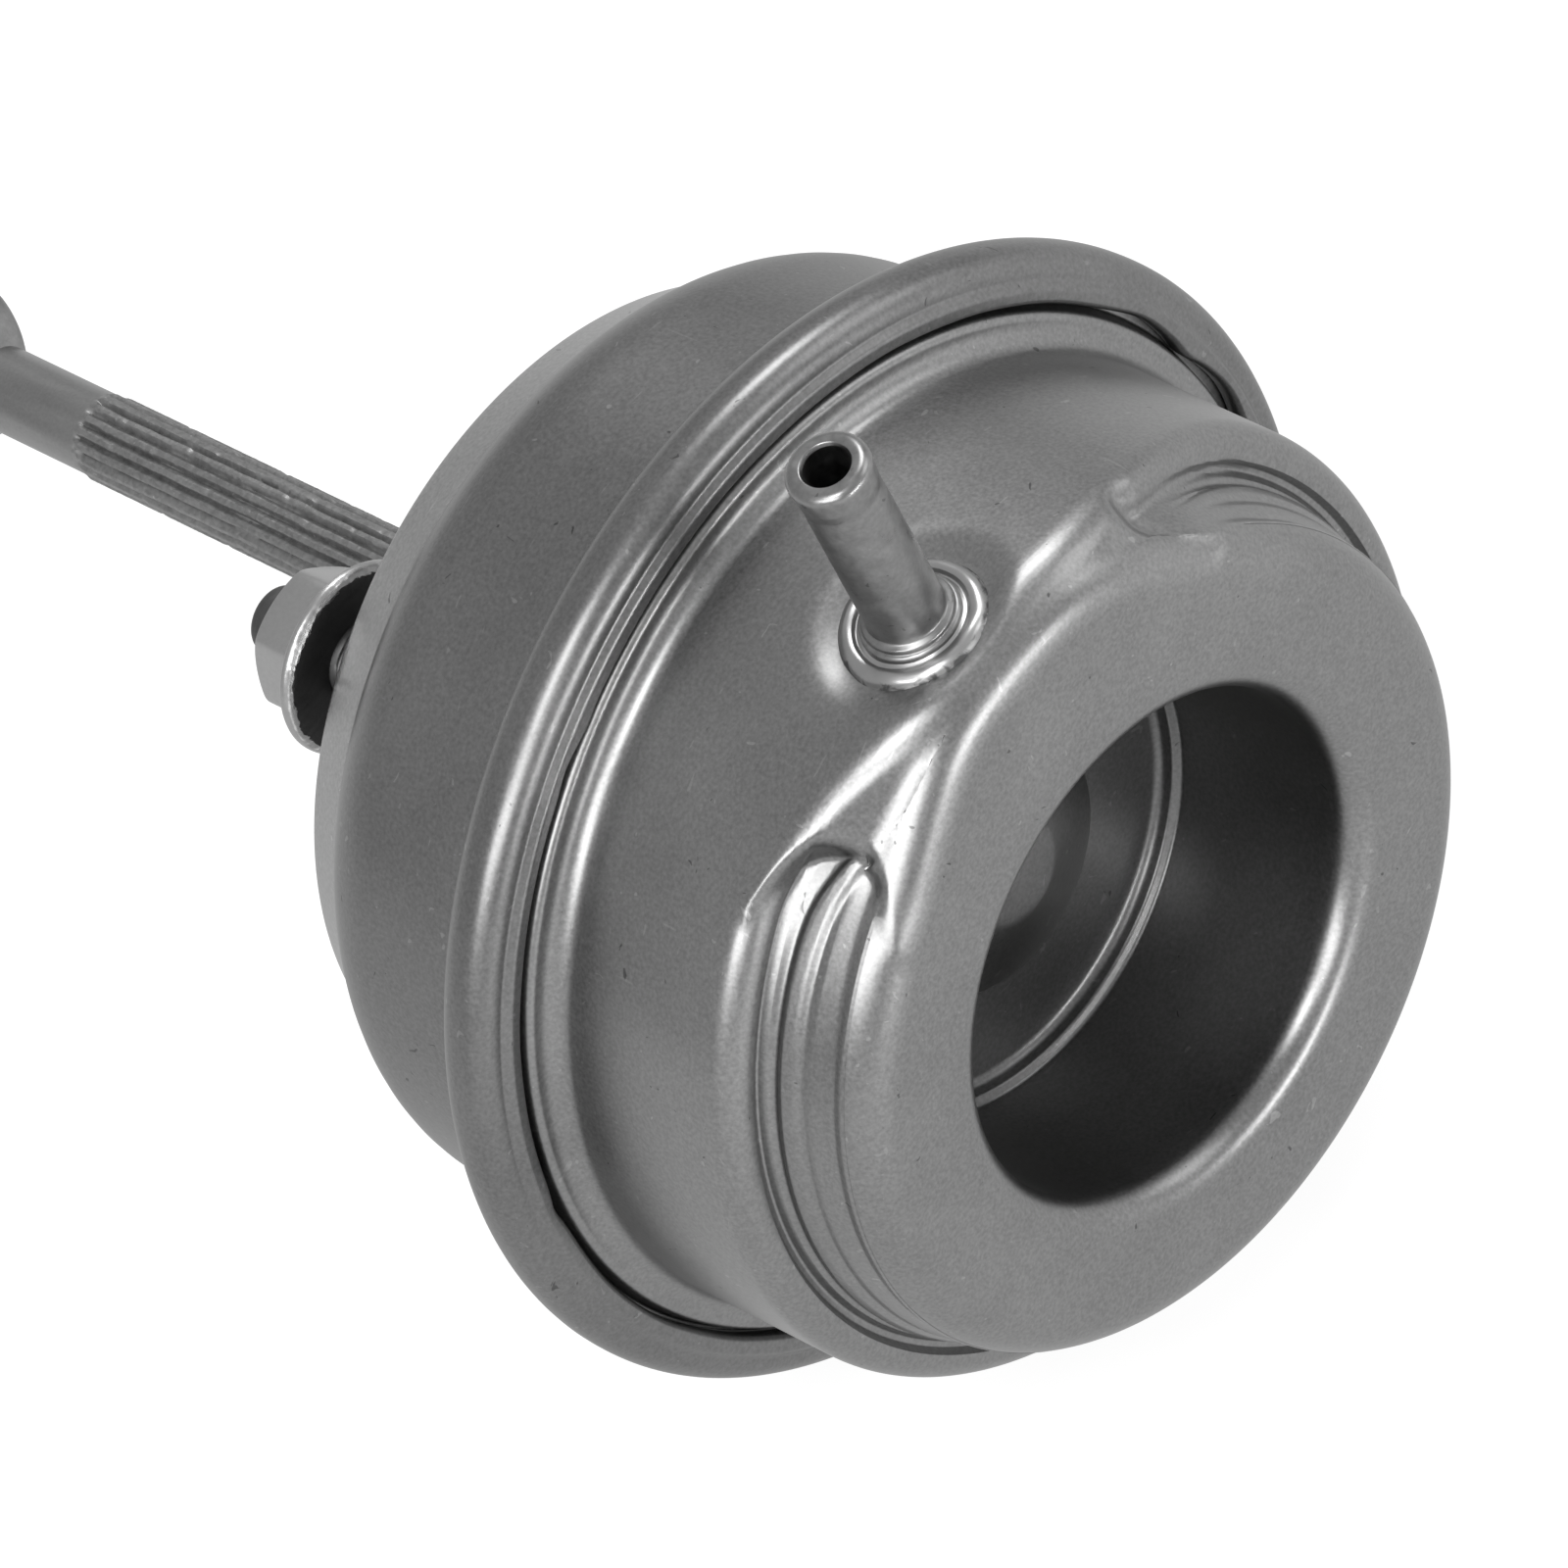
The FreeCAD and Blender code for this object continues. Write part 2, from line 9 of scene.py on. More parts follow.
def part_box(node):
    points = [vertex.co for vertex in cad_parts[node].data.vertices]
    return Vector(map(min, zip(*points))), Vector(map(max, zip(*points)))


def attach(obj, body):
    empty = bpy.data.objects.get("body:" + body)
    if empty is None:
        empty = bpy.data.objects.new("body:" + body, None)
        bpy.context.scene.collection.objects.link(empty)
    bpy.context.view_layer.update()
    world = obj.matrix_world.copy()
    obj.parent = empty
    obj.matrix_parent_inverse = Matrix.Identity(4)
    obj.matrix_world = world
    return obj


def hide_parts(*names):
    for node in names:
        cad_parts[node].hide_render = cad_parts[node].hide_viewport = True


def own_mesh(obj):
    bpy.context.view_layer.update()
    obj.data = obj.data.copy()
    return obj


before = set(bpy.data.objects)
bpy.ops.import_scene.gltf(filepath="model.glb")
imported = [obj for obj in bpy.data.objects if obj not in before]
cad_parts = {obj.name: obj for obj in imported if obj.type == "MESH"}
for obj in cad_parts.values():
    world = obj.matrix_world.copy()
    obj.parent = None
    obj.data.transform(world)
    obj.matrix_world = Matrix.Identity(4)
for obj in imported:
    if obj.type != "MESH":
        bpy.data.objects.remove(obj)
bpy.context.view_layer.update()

# Wastegate actuator. Shapes are written in millimetres in the frame of the CAD model: the rod points
# to +Y, the nipple to +Z. On the canister a place along the axis is s, the distance in front of the
# rolled rim's lip, so y = -(lip_to_mount + s). Azimuth runs from +Z towards -X.
mm = 0.001
lip_to_mount = 23.1
sheet = 1.0
body_r = 28.5
nipple_s = 13.5


# Outlines and meshes
def rounded(corners, turn=7.0, span=0.0):
    """Points along (a, r, round) corners. Arcs get a point each turn degrees, straights one each span."""
    points = [np.array(corners[0][:2], float)]
    for before, here, after in zip(corners, corners[1:], corners[2:]):
        corner = np.array(here[:2], float)
        to_before = np.array(before[:2], float) - corner
        to_after = np.array(after[:2], float) - corner
        to_before /= np.linalg.norm(to_before)
        to_after /= np.linalg.norm(to_after)
        half = math.acos(np.clip(to_before @ to_after, -1, 1)) / 2
        if here[2] <= 0 or half > math.radians(89.8):
            points.append(corner)
            continue
        bisector = to_before + to_after
        bisector /= np.linalg.norm(bisector)
        centre = corner + bisector * here[2] / math.sin(half)
        start = corner + to_before * here[2] / math.tan(half) - centre
        end = corner + to_after * here[2] / math.tan(half) - centre
        sweep = math.pi - 2 * half
        count = max(2, math.ceil(math.degrees(sweep) / turn))
        for i in range(count + 1):
            part = i / count * sweep
            points.append(centre + (start * math.sin(sweep - part) + end * math.sin(part)) / math.sin(sweep))
    points.append(np.array(corners[-1][:2], float))
    out = [points[0]]
    for point in points[1:]:
        length = np.linalg.norm(point - out[-1])
        if length < 1e-6:
            continue
        pieces = max(1, math.ceil(length / span)) if span else 1
        start = out[-1]
        for i in range(1, pieces + 1):
            out.append(start + (point - start) * i / pieces)
    return np.array(out)


def shifted(corners, thickness):
    """The same corners moved to the left of the way they run, with their rounds kept concentric."""
    moved = []
    last = len(corners) - 1
    for i, here in enumerate(corners):
        a = np.array(here[:2], float) - corners[max(i - 1, 0)][:2]
        b = np.array(corners[min(i + 1, last)][:2], float) - here[:2]
        a = b if i == 0 else a
        b = a if i == last else b
        a = a / np.linalg.norm(a)
        b = b / np.linalg.norm(b)
        left_a, left_b = np.array([-a[1], a[0]]), np.array([-b[1], b[0]])
        mitre = (left_a + left_b) * thickness / (1 + left_a @ left_b)
        turn = a[0] * b[1] - a[1] * b[0]
        radius = here[2] - thickness if turn > 0 else here[2] + thickness
        radius = 0 if here[2] == 0 and turn >= 0 else radius
        moved.append((here[0] + mitre[0], here[1] + mitre[1], max(radius, 0)))
    return moved


def along(path):
    """Distance along a path at each of its points, as a share of the whole."""
    steps = np.linalg.norm(np.diff(path, axis=0), axis=1)
    total = np.concatenate([[0], np.cumsum(steps)])
    return total / total[-1]


def at_shares(path, shares):
    """Points of a path at the given shares of its length."""
    own = along(path)
    return np.stack([np.interp(shares, own, path[:, 0]), np.interp(shares, own, path[:, 1])], axis=-1)


def finish_mesh(name, verts, faces, sharp=40.0):
    """An object from points in millimetres, welded, with outward normals and smooth shading."""
    mesh = bpy.data.meshes.new(name)
    mesh.from_pydata([tuple(v) for v in np.asarray(verts) * mm], [], faces)
    work = bmesh.new()
    work.from_mesh(mesh)
    bmesh.ops.remove_doubles(work, verts=work.verts, dist=2e-7)
    bmesh.ops.recalc_face_normals(work, faces=work.faces)
    work.to_mesh(mesh)
    work.free()
    mesh.polygons.foreach_set("use_smooth", [True] * len(mesh.polygons))
    mesh.set_sharp_from_angle(angle=math.radians(sharp))
    piece = bpy.data.objects.new(name, mesh)
    bpy.context.scene.collection.objects.link(piece)
    return piece


def grid_faces(rows, columns, rows_close, columns_close):
    """Quads of a grid of points."""
    faces = []
    for i in range(rows if rows_close else rows - 1):
        for j in range(columns if columns_close else columns - 1):
            a, b = i * columns, ((i + 1) % rows) * columns
            faces.append((a + j, a + (j + 1) % columns, b + (j + 1) % columns, b + j))
    return faces


def placed(azimuths, y, r):
    """Points on the canister from azimuths in degrees (rows) and y, r (rows by columns)."""
    a = np.radians(azimuths)[:, None]
    return np.stack([-np.sin(a) * r, y + 0 * a, np.cos(a) * r], axis=-1).reshape(-1, 3)


def unit(v):
    """A vector of length 1."""
    v = np.array(v, float)
    return v / np.linalg.norm(v)


def turned(origin, way, across, turns, a, r):
    """Points round a line: a along way and r from it, a row for each turn in degrees from across."""
    way, across = unit(way), unit(across)
    third = np.cross(way, across)
    t = np.radians(turns)[:, None]
    a, r = np.broadcast_to(a, (len(turns), a.shape[-1])), np.broadcast_to(r, (len(turns), r.shape[-1]))
    side = (np.cos(t)[..., None] * across + np.sin(t)[..., None] * third) * r[..., None]
    return (np.array(origin, float) + a[..., None] * way + side).reshape(-1, 3)


def ripple(seed, waves, size):
    """A smooth irregular function of an angle in degrees, about size high, from a few waves."""
    pick = np.random.default_rng(seed)
    terms = [(k, pick.uniform(0, 2 * math.pi), size / math.sqrt(len(waves))) for k in waves]

    def value(degrees):
        t = np.radians(degrees)
        return sum(high * np.sin(k * t + phase) for k, phase, high in terms)
    return value


def node_centre(node):
    """Middle of a CAD node's box, in millimetres."""
    low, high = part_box(node)
    return (np.array(low) + np.array(high)) / 2 / mm


# Front half of the canister
flange = [(-1.05, 32.0, 0), (-1.05, 30.7, 0.2), (0.35, 30.42, 0.55), (0.35, 28.5, 1.4)]
well = [
    (20.3, 15.15, 1.9), (7.1, 15.02, 0.35), (6.8, 14.5, 0.3), (5.9, 14.3, 0.7),
    (5.9, 8.2, 0.45), (6.8, 7.8, 0.45), (8.4, 3.0, 2.0), (8.4, 0, 0),
]
fold_s = 11.6
rest_r = 21.4
nose_s = 20.3
groove_start = 24.2
dish_depth = 0.75
dish_from, dish_to = 4.1, 6.9
lobe_s = 18.0
shoulder_s = 13.7
line_s = 17.85
# Where the lobe passes into the shoulder and the face: from this azimuth, over so many degrees
left_edge, right_edge = (5, 33), (12, 50)
left_face, right_face = (12, 21), (10, 38)


def smooth(x):
    """Soft step from 0 to 1."""
    x = np.clip(x, 0, 1)
    return x * x * (3 - 2 * x)


def dish(reach):
    """Depth of the pressed seat under the nipple at a distance from its axis."""
    return dish_depth * (1 - smooth((reach - dish_from) / (dish_to - dish_from)))


def slope_path(edge, face):
    """Outline without the groove. Edge and face run from 0 at the nipple's lobe to 1 away from it."""
    edge_s = lobe_s - (lobe_s - shoulder_s) * edge
    face_r = 26.2 - 2.3 * face
    hollow = 0.5 * math.sin(math.pi * min(edge, 1)) + 0.25 * edge
    middle = (0.45 * edge_s + 0.55 * nose_s - 0.75 * hollow, 0.45 * body_r + 0.55 * face_r - hollow, 2.5)
    return [
        (fold_s, body_r, 0), (edge_s, body_r, 3.4 - 1.6 * edge), middle,
        (nose_s, face_r, 3.4 - 0.4 * face), (nose_s, rest_r, 0),
    ]


def stepped_path(lift, rise):
    """The pressed-in outline: shoulder, crease, floor, ridges on the nose's side, nose corner."""
    squeeze = 1 - lift / (line_s - shoulder_s)

    def up(s):
        return line_s - (line_s - s) * squeeze
    return [
        (fold_s, body_r, 0), (shoulder_s + lift, body_r, 1.75), (shoulder_s + lift, 26.6, 0.1),
        (up(13.25), 26.3, 0.15), (up(13.2), 25.9, 0.2), (up(13.75), 25.62, 0.25),
        (up(14.05 + rise), 25.2, 0.3), (up(14.5 + rise), 25.5, 0.45),
        (up(15.3 + rise), 25.25, 0.5), (up(15.7 + rise), 24.95, 0.4),
        (up(16.3 + rise * 0.5), 24.9, 0.6), (line_s - 0.2, 24.5, 0.7), (line_s + 0.5, 24.62, 0.7),
        (nose_s, 23.9, 3.0), (nose_s, rest_r, 0),
    ]


def soft_path(lift):
    """The groove near its right end: shoulder, shallow channel and a plain bulge up to the face."""
    return [
        (fold_s, body_r, 0), (shoulder_s + lift, body_r, 1.7), (shoulder_s + lift + 0.15, 26.3, 0.5),
        (line_s + 0.35, 25.6, 0.9), (nose_s, 25.1, 1.5), (nose_s, rest_r, 0),
    ]


def ramp(distance, depth, slope, top_r, foot_r):
    """Depth past an end: round edge, sloping wall and round foot."""
    reach = top_r * np.sin(np.arctan(slope))
    x = np.maximum(distance, 0)
    arc = top_r - np.sqrt(np.maximum(top_r * top_r - np.minimum(x, reach) ** 2, 0))
    fall = arc + np.maximum(x - reach, 0) * slope
    blend = np.clip(0.5 + 0.5 * (depth - fall) / foot_r, 0, 1)
    low = fall * blend + depth * (1 - blend) - foot_r * blend * (1 - blend)
    return np.clip(low, 0, depth)


def passed(away, span):
    """Share of a passage done at an azimuth away from the nipple."""
    return smooth((away - span[0]) / span[1])


def front_outline(azimuths, shares):
    """(s, r) of the region between the wall and the face, for each azimuth and share of the outline."""
    turn = (azimuths + 180) % 360 - 180
    away, left = np.abs(turn), turn > 0
    edge = np.where(left, passed(away, left_edge), passed(away, right_edge))
    face = np.where(left, passed(away, left_face), passed(away, right_face))
    lift = np.minimum((lobe_s - shoulder_s) * (1 - edge), 2.9)
    rise = np.where(left, 2.0, 1.2) * np.exp(-np.maximum(away - groove_start, 0) / 7.5)
    slope = np.stack([at_shares(rounded(slope_path(e, f), 4, 0.2), shares) for e, f in zip(edge, face)])
    stepped = np.stack([at_shares(rounded(stepped_path(a, b), 8, 0.2), shares) for a, b in zip(lift, rise)])
    soft = np.stack([at_shares(rounded(soft_path(a), 8, 0.2), shares) for a in lift])
    plain = np.where(left, 0, 1 - smooth((away - 32) / 22))[:, None, None]
    stepped = stepped * (1 - plain) + soft * plain
    depth = np.linalg.norm(stepped - slope, axis=-1)
    scale = np.maximum(depth, 0.4)
    middle = np.where(left, 0.46, 0.44)[:, None]
    offset = shares[None, :] - middle
    half_width = np.where(offset < 0, np.where(left, 0.25, 0.2)[:, None], np.where(left, 0.235, 0.2)[:, None])
    round_end = 2.6 * np.abs(offset / half_width) ** 2.2
    past = (away[:, None] - groove_start) * math.radians(27.0) - np.minimum(round_end, 6)
    wall_slope, top_r = np.where(left, 1.3, 0.9)[:, None], np.where(left, 1.3, 1.5)[:, None]
    weight = (ramp(past, scale, wall_slope, top_r, 0.5) / scale)[..., None]
    return slope * (1 - weight) + stepped * weight


def front_can():
    """The pressed front half, outside fine and inside coarse, as one closed sheet."""
    head = rounded(flange + [(fold_s, body_r, 0)], 9, 0.6)
    tail = rounded([(nose_s, rest_r, 0)] + well, 9, 0.6)
    shares = along(rounded(stepped_path(0, 0.3), 9, 0.24))
    azimuths = []
    angle = 0.0
    while angle < 360 - 1e-6:
        azimuths.append(angle)
        angle += 0.4 if 20 < min(angle, 360 - angle) < 36 else 1.0
    azimuths = np.array(azimuths)
    rows = len(azimuths)
    outline = front_outline(azimuths, shares)
    outside = np.concatenate([
        np.repeat(head[None, :-1], rows, axis=0), outline, np.repeat(tail[None, 1:], rows, axis=0)], axis=1)
    plain = [(12.6, body_r, 1.75), (12.6, 24.9, 0.5), (nose_s, 24.9, 3.0)]
    inner = rounded(shifted(flange + plain + well, -sheet), 20, 0)
    section = np.concatenate([np.repeat(inner[None, ::-1], rows, axis=0), outside], axis=1)
    s, r = section[..., 0], section[..., 1]
    turn = (azimuths[:, None] + 180) % 360 - 180
    reach = np.hypot(np.radians(turn) * body_r, (s - nipple_s) * 1.2)
    on_wall = (r > 27.0) & (s > 1.0)
    r = r - np.where(on_wall, dish(reach), 0)
    verts = placed(azimuths, -(lip_to_mount + s), r)
    faces = grid_faces(rows, section.shape[1], True, False)
    return finish_mesh("front_half", verts, faces, 50)


front = front_can()
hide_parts("front_can")
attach(front, "canister")


# Rear half with its rolled rim
# Kinks of the lip: azimuth, half width in degrees, how far it stands off the bead
lip_kinks = (
    (-68, 5, 0.26), (-77, 2.2, -0.2), (-86, 6, 0.4), (26, 1.6, -0.14), (31, 2.4, 0.26), (84, 2, 0.2),
    (-150, 3, 0.2),
)


def rear_can():
    """The rear half as one closed sheet; the rolled rim has a shallow valley and a slightly wavy lip."""
    outer = [
        (-20.1, 5.05, 0), (-20.1, body_r, 5.4), (-4.05, body_r, 1.2), (-4.05, 34.0, 2.15), (-0.12, 34.0, 1.6),
        (-0.02, 32.3, 0.4), (0.37, 31.85, 0.5), (0.35, 31.1, 0.3), (0.0, 30.88, 0),
    ]
    inner = [
        (-0.9, 30.95, 0), (-0.75, 33.0, 1.1), (-3.05, 33.0, 1.15), (-3.05, 27.5, 2.2), (-19.1, 27.5, 4.4),
        (-19.1, 5.05, 0),
    ]
    section = np.concatenate([rounded(outer, 7, 0.8), rounded(inner, 12, 0)])
    pick = np.random.default_rng(5)
    waves = [(k, pick.uniform(0, 2 * math.pi), 0.06 / math.sqrt(k)) for k in (2, 3, 5, 7, 11, 17, 29)]

    def wavy(azimuths, s, r):
        a = np.radians(azimuths)
        wave = sum(size * np.sin(k * a + phase) for k, phase, size in waves)
        for at, half, size in lip_kinks:
            wave = wave + size * np.exp(-(((azimuths - at + 180) % 360 - 180) / half) ** 2)
        lip = np.exp(-((r - 30.9) / 0.8) ** 2) * (s > -1.2)
        return s, r + wave * lip
    azimuths = np.arange(0, 360, 1.0)
    s = np.repeat(section[None, :, 0], len(azimuths), axis=0)
    r = np.repeat(section[None, :, 1], len(azimuths), axis=0)
    s, r = wavy(azimuths[:, None], s, r)
    verts = placed(azimuths, -(lip_to_mount + s), r)
    return finish_mesh("rear_half", verts, grid_faces(len(azimuths), len(section), True, True), 50)


rear = rear_can()
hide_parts("rear_can")
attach(rear, "canister")


# Mounting disc
rod_way, up_way, side_way = (0, 1, 0), (0, 0, 1), (1, 0, 0)
disc_front_r = 25.85
disc_rear_r = 24.1
disc_depth = 3.72
bush_clear_r = 5.05


def mounting_disc():
    """The turned disc: tapered edge with a fine, slightly wavy burr at its front."""
    seat_r = 25.55
    outer = [
        (-3.0, bush_clear_r, 0), (-3.0, 23.1, 2.0), (-disc_depth, seat_r, 0.02),
        (-disc_depth - 0.06, disc_front_r, 0.05), (-disc_depth + 0.25, disc_front_r - 0.14, 0.1),
        (0, disc_rear_r, 0.6), (0, bush_clear_r + 0.3, 0.1), (-0.3, bush_clear_r, 0),
    ]
    section = rounded(outer, 10, 0.5)
    turns = np.arange(0, 360, 1.0)
    wave = ripple(11, (3, 7, 16, 31, 53), 0.02)(turns)[:, None]
    edge = np.exp(-((section[:, 0] + disc_depth) / 0.2) ** 2)[None, :] * (section[:, 1] > 25)[None, :]
    r = section[None, :, 1] + edge * wave
    verts = turned((0, 0, 0), rod_way, up_way, turns, section[:, 0], r)
    return finish_mesh("disc", verts, grid_faces(len(turns), len(section), True, True), 40)


disc = mounting_disc()
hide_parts("mounting_disc")
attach(disc, "canister")


# Hose nipple and the braze round its foot
nipple_y = -(lip_to_mount + nipple_s)
foot_z = 27.75
nipple_lean = math.radians(2.6)
nipple_way = (0, -math.sin(nipple_lean), math.cos(nipple_lean))
nipple_length = 15.15
nipple_bore_r = 1.37


def hose_nipple():
    """The turned tube: two steps at the foot, flared soft end, slightly uneven wall."""
    tip = nipple_length
    outer = [
        (-1.7, 2.95, 0), (0.75, 2.98, 0.28), (0.82, 2.72, 0.1), (1.12, 2.68, 0.18), (1.3, 2.33, 0.2),
        (tip - 2.4, 2.31, 0.9), (tip - 1.7, 2.41, 0.7), (tip, 2.5, 0.62), (tip, nipple_bore_r + 0.13, 0.12),
        (tip - 0.25, nipple_bore_r, 0.1), (-1.7, nipple_bore_r, 0),
    ]
    section = rounded(outer, 9, 0.35)
    turns = np.arange(0, 360, 3.0)
    uneven = ripple(3, (2, 3, 5), 0.007)
    a, r = section[None, :, 0], section[None, :, 1]
    dents = uneven(turns[:, None] + 40 * a) * (r > 2.0) * (a > 1.4)
    verts = turned((0, nipple_y, foot_z), nipple_way, side_way, turns, section[:, 0], r + dents)
    return finish_mesh("nipple", verts, grid_faces(len(turns), len(section), True, True), 40)


def braze_ring():
    """Filler metal round the nipple's foot, lying on the dished wall, with an irregular outer edge."""
    outer = [
        (2.5, -0.9, 0), (2.9, 0.42, 0), (3.22, 0.24, 0.12), (3.42, 0.5, 0.14), (3.8, 0.64, 0.5),
        (4.2, 0.4, 0.5), (4.42, -0.02, 0.2), (4.6, -0.12, 0), (4.2, -0.9, 0),
    ]
    section = rounded(outer, 12, 0.2)
    turns = np.arange(0, 360, 2.0)
    wide = 1 + ripple(21, (2, 5, 9, 14), 0.014)(turns)[:, None]
    high = 1 + ripple(22, (2, 3, 5, 8), 0.12)(turns)[:, None]
    r = 2.9 + (section[None, :, 0] - 2.9) * np.where(section[None, :, 0] > 3.3, wide, 1)
    t = np.radians(turns)[:, None]
    x, y = r * np.cos(t), r * np.sin(t)
    ground = np.sqrt(body_r ** 2 - x ** 2) - dish(r)
    h = section[None, :, 1] * np.where(section[None, :, 1] > 0, high, 1)
    verts = np.stack([x, nipple_y - y, ground + h], axis=-1).reshape(-1, 3)
    return finish_mesh("braze", verts, grid_faces(len(turns), len(section), True, True), 50)


nipple = hose_nipple()
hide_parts("hose_nipple")
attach(nipple, "canister")
braze = braze_ring()
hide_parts("nipple_braze_ring")
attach(braze, "canister")


# Studs and flange nuts
bracket_gap = 2.4
nut_end = 6.9
nut_flats = 8.0
nut_flange_r = 5.8
stud_tip = 9.5
thread_pitch, thread_depth = 0.8, 0.34
nut_turn = 19.9
corner_softness = 18


def stud(node, name):
    """A mounting stud: head inside the can, pressed shank, rolled thread and plain rounded end."""
    centre = node_centre(node)
    origin = (centre[0], 0, centre[2])
    outer = [
        (-5.2, 0, 0), (-5.2, 3.5, 0.4), (-4.0, 3.5, 0), (-4.0, 2.7, 0), (0, 2.7, 0), (0.05, 2.48, 0),
        (stud_tip - 2.3, 2.4, 0.1), (stud_tip - 1.9, 2.14, 0.1), (stud_tip - 0.72, 2.16, 0.05),
        (stud_tip - 0.68, 2.1, 0.05), (stud_tip, 2.02, 0.55), (stud_tip, 0, 0),
    ]
    section = rounded(outer, 12, 0.09)
    turns = np.arange(0, 360, 6.0)
    a = section[None, :, 0]
    saw = np.abs((a / thread_pitch - turns[:, None] / 360) % 1 - 0.5) * 2
    threaded = (a > 0.6) & (a < stud_tip - 2.0) & (section[None, :, 1] > 2.2)
    r = section[None, :, 1] - np.where(threaded, thread_depth * np.clip(1.25 * saw - 0.1, 0, 1), 0)
    verts = turned(origin, rod_way, up_way, turns, section[:, 0], r)
    return finish_mesh(name, verts, grid_faces(len(turns), len(section), True, False), 35)


def flange_nut(node, name):
    """A flange nut: rough ground face, burred edge, flange, hexagon with chamfered far end."""
    centre = node_centre(node)
    origin = (centre[0], 0, centre[2])
    face_y = bracket_gap
    turns = np.arange(0, 360, 1.5)
    from_flat = np.radians((turns - nut_turn) % 60 - 30)
    facing = sum(np.maximum(np.cos(from_flat + k * math.pi / 3), 0) ** corner_softness for k in (-1, 0, 1))
    hexagon = nut_flats / 2 / facing ** (1 / corner_softness)
    burrs = ripple(31, (3, 8, 13, 27, 44, 71), 0.07)(turns)
    rows = []
    for hex_r, burr in zip(hexagon, burrs):
        brim = nut_flange_r - hex_r
        past_round = max(hex_r - 3.9, 0)
        rows.append([
            (face_y + 0.5, 2.15), (face_y + 0.05, 2.55), (face_y, 2.9), (face_y, 4.2), (face_y, 5.3 + burr),
            (face_y + 0.04, 5.42 + burr), (face_y + 0.16, 5.62 + burr * 0.6), (face_y + 0.3, 5.74),
            (face_y + 0.42, nut_flange_r), (face_y + 0.62, nut_flange_r),
            (face_y + 0.72, nut_flange_r - 0.06), (face_y + 0.95, hex_r + brim * 0.78),
            (face_y + 1.22, hex_r + brim * 0.42),
            (face_y + 1.42, hex_r + 0.16), (face_y + 1.47, hex_r + 0.02), (face_y + 1.56, hex_r - 0.12),
            (face_y + 1.68, hex_r), (face_y + 2.6, hex_r), (nut_end - past_round * 0.62 - 0.06, hex_r),
            (nut_end - past_round * 0.55, hex_r - 0.03), (nut_end - 0.05, 3.86), (nut_end, 3.74),
            (nut_end, 2.9), (nut_end - 0.1, 2.6), (nut_end - 0.5, 2.15),
        ])
    rows = np.array(rows)
    verts = turned(origin, rod_way, up_way, turns, rows[..., 0], rows[..., 1])
    return finish_mesh(name, verts, grid_faces(len(turns), rows.shape[1], True, True), 28)


studs, nuts = [], []
for side in ("upper", "lower"):
    studs.append(stud("stud_" + side, side + "_stud"))
    nuts.append(flange_nut("nut_" + side, side + "_nut"))
    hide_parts("stud_" + side)
    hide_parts("nut_" + side)
    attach(studs[-1], "canister")
    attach(nuts[-1], "canister")


# Rod with its knurl and eye
rod_r = 2.5
tenon_r = 2.0
head_r = 3.4
head_height = 1.4
shoulder_y = -23.8
knurl_from, knurl_to = 14.9, 42.2
knurl_teeth = 18
eye_y = 55.25
eye_r = 5.2
eye_bore_r = 3.05
eye_half = 2.0
eye_turn = math.radians(-52.1)


def rod_bar():
    """Peened head, tenon, shank and coarse broken knurl, up to the eye."""
    head_y = frame_low("actuator_rod")[1]
    outer = [
        (head_y, 0, 0), (head_y, head_r, 0.9), (head_y + head_height, head_r, 0),
        (head_y + head_height, tenon_r, 0),
        (shoulder_y, tenon_r, 0), (shoulder_y, rod_r, 0), (knurl_from - 1.0, rod_r, 0),
    ]
    lower = rounded(outer, 15, 3.0)
    steps = np.arange(knurl_from - 0.9, knurl_to + 0.9, 0.16)
    knurled = np.stack([steps, np.full_like(steps, rod_r)], axis=-1)
    rod_end = eye_y - eye_bore_r - 0.3
    upper = rounded([(knurl_to + 1.0, rod_r, 0), (rod_end, rod_r, 0), (rod_end, 0, 0)], 15, 1.5)
    section = np.concatenate([lower, knurled, upper])
    turns = np.arange(0, 360, 2.0)
    pick = np.random.default_rng(17)
    a = section[None, :, 0]
    sway = sum(pick.uniform(0.01, 0.02) * np.sin(k * a + pick.uniform(0, 6)) for k in (0.35, 0.8, 1.9))
    place = (turns[:, None] / 360 * knurl_teeth + sway) % knurl_teeth
    tooth = place.astype(int) % knurl_teeth
    across = place % 1
    start = pick.uniform(-0.45, 0.25, knurl_teeth)[tooth]
    height = pick.uniform(0.13, 0.2, knurl_teeth)[tooth]
    wide = pick.uniform(0.20, 0.36, knurl_teeth)[tooth]
    phase = pick.uniform(0, 6.3, (3, knurl_teeth))
    rough = sum(np.sin(k * a + phase[i][tooth]) for i, k in enumerate((0.9, 2.3, 4.7))) / 3
    broken = np.clip(1.5 + 0.95 * rough, 0.55, 1)
    ridge = np.clip((wide + 0.1 - np.abs(across - 0.5)) / 0.14, 0, 1)
    valley = np.clip(1 - np.abs(across - 0.02) / 0.2, 0, 1) + np.clip(1 - np.abs(across - 1.02) / 0.2, 0, 1)
    ends = smooth((a - knurl_from) / 0.8) * smooth((knurl_to + start - a) / 0.55)
    fine = pick.normal(0, 0.006, (len(turns), len(section)))
    r = section[None, :, 1] + ends * (height * broken * ridge - 0.2 * valley - 0.02 + fine)
    verts = turned((0, 0, 0), rod_way, up_way, turns, section[:, 0], r)
    return verts, grid_faces(len(turns), len(section), True, False)


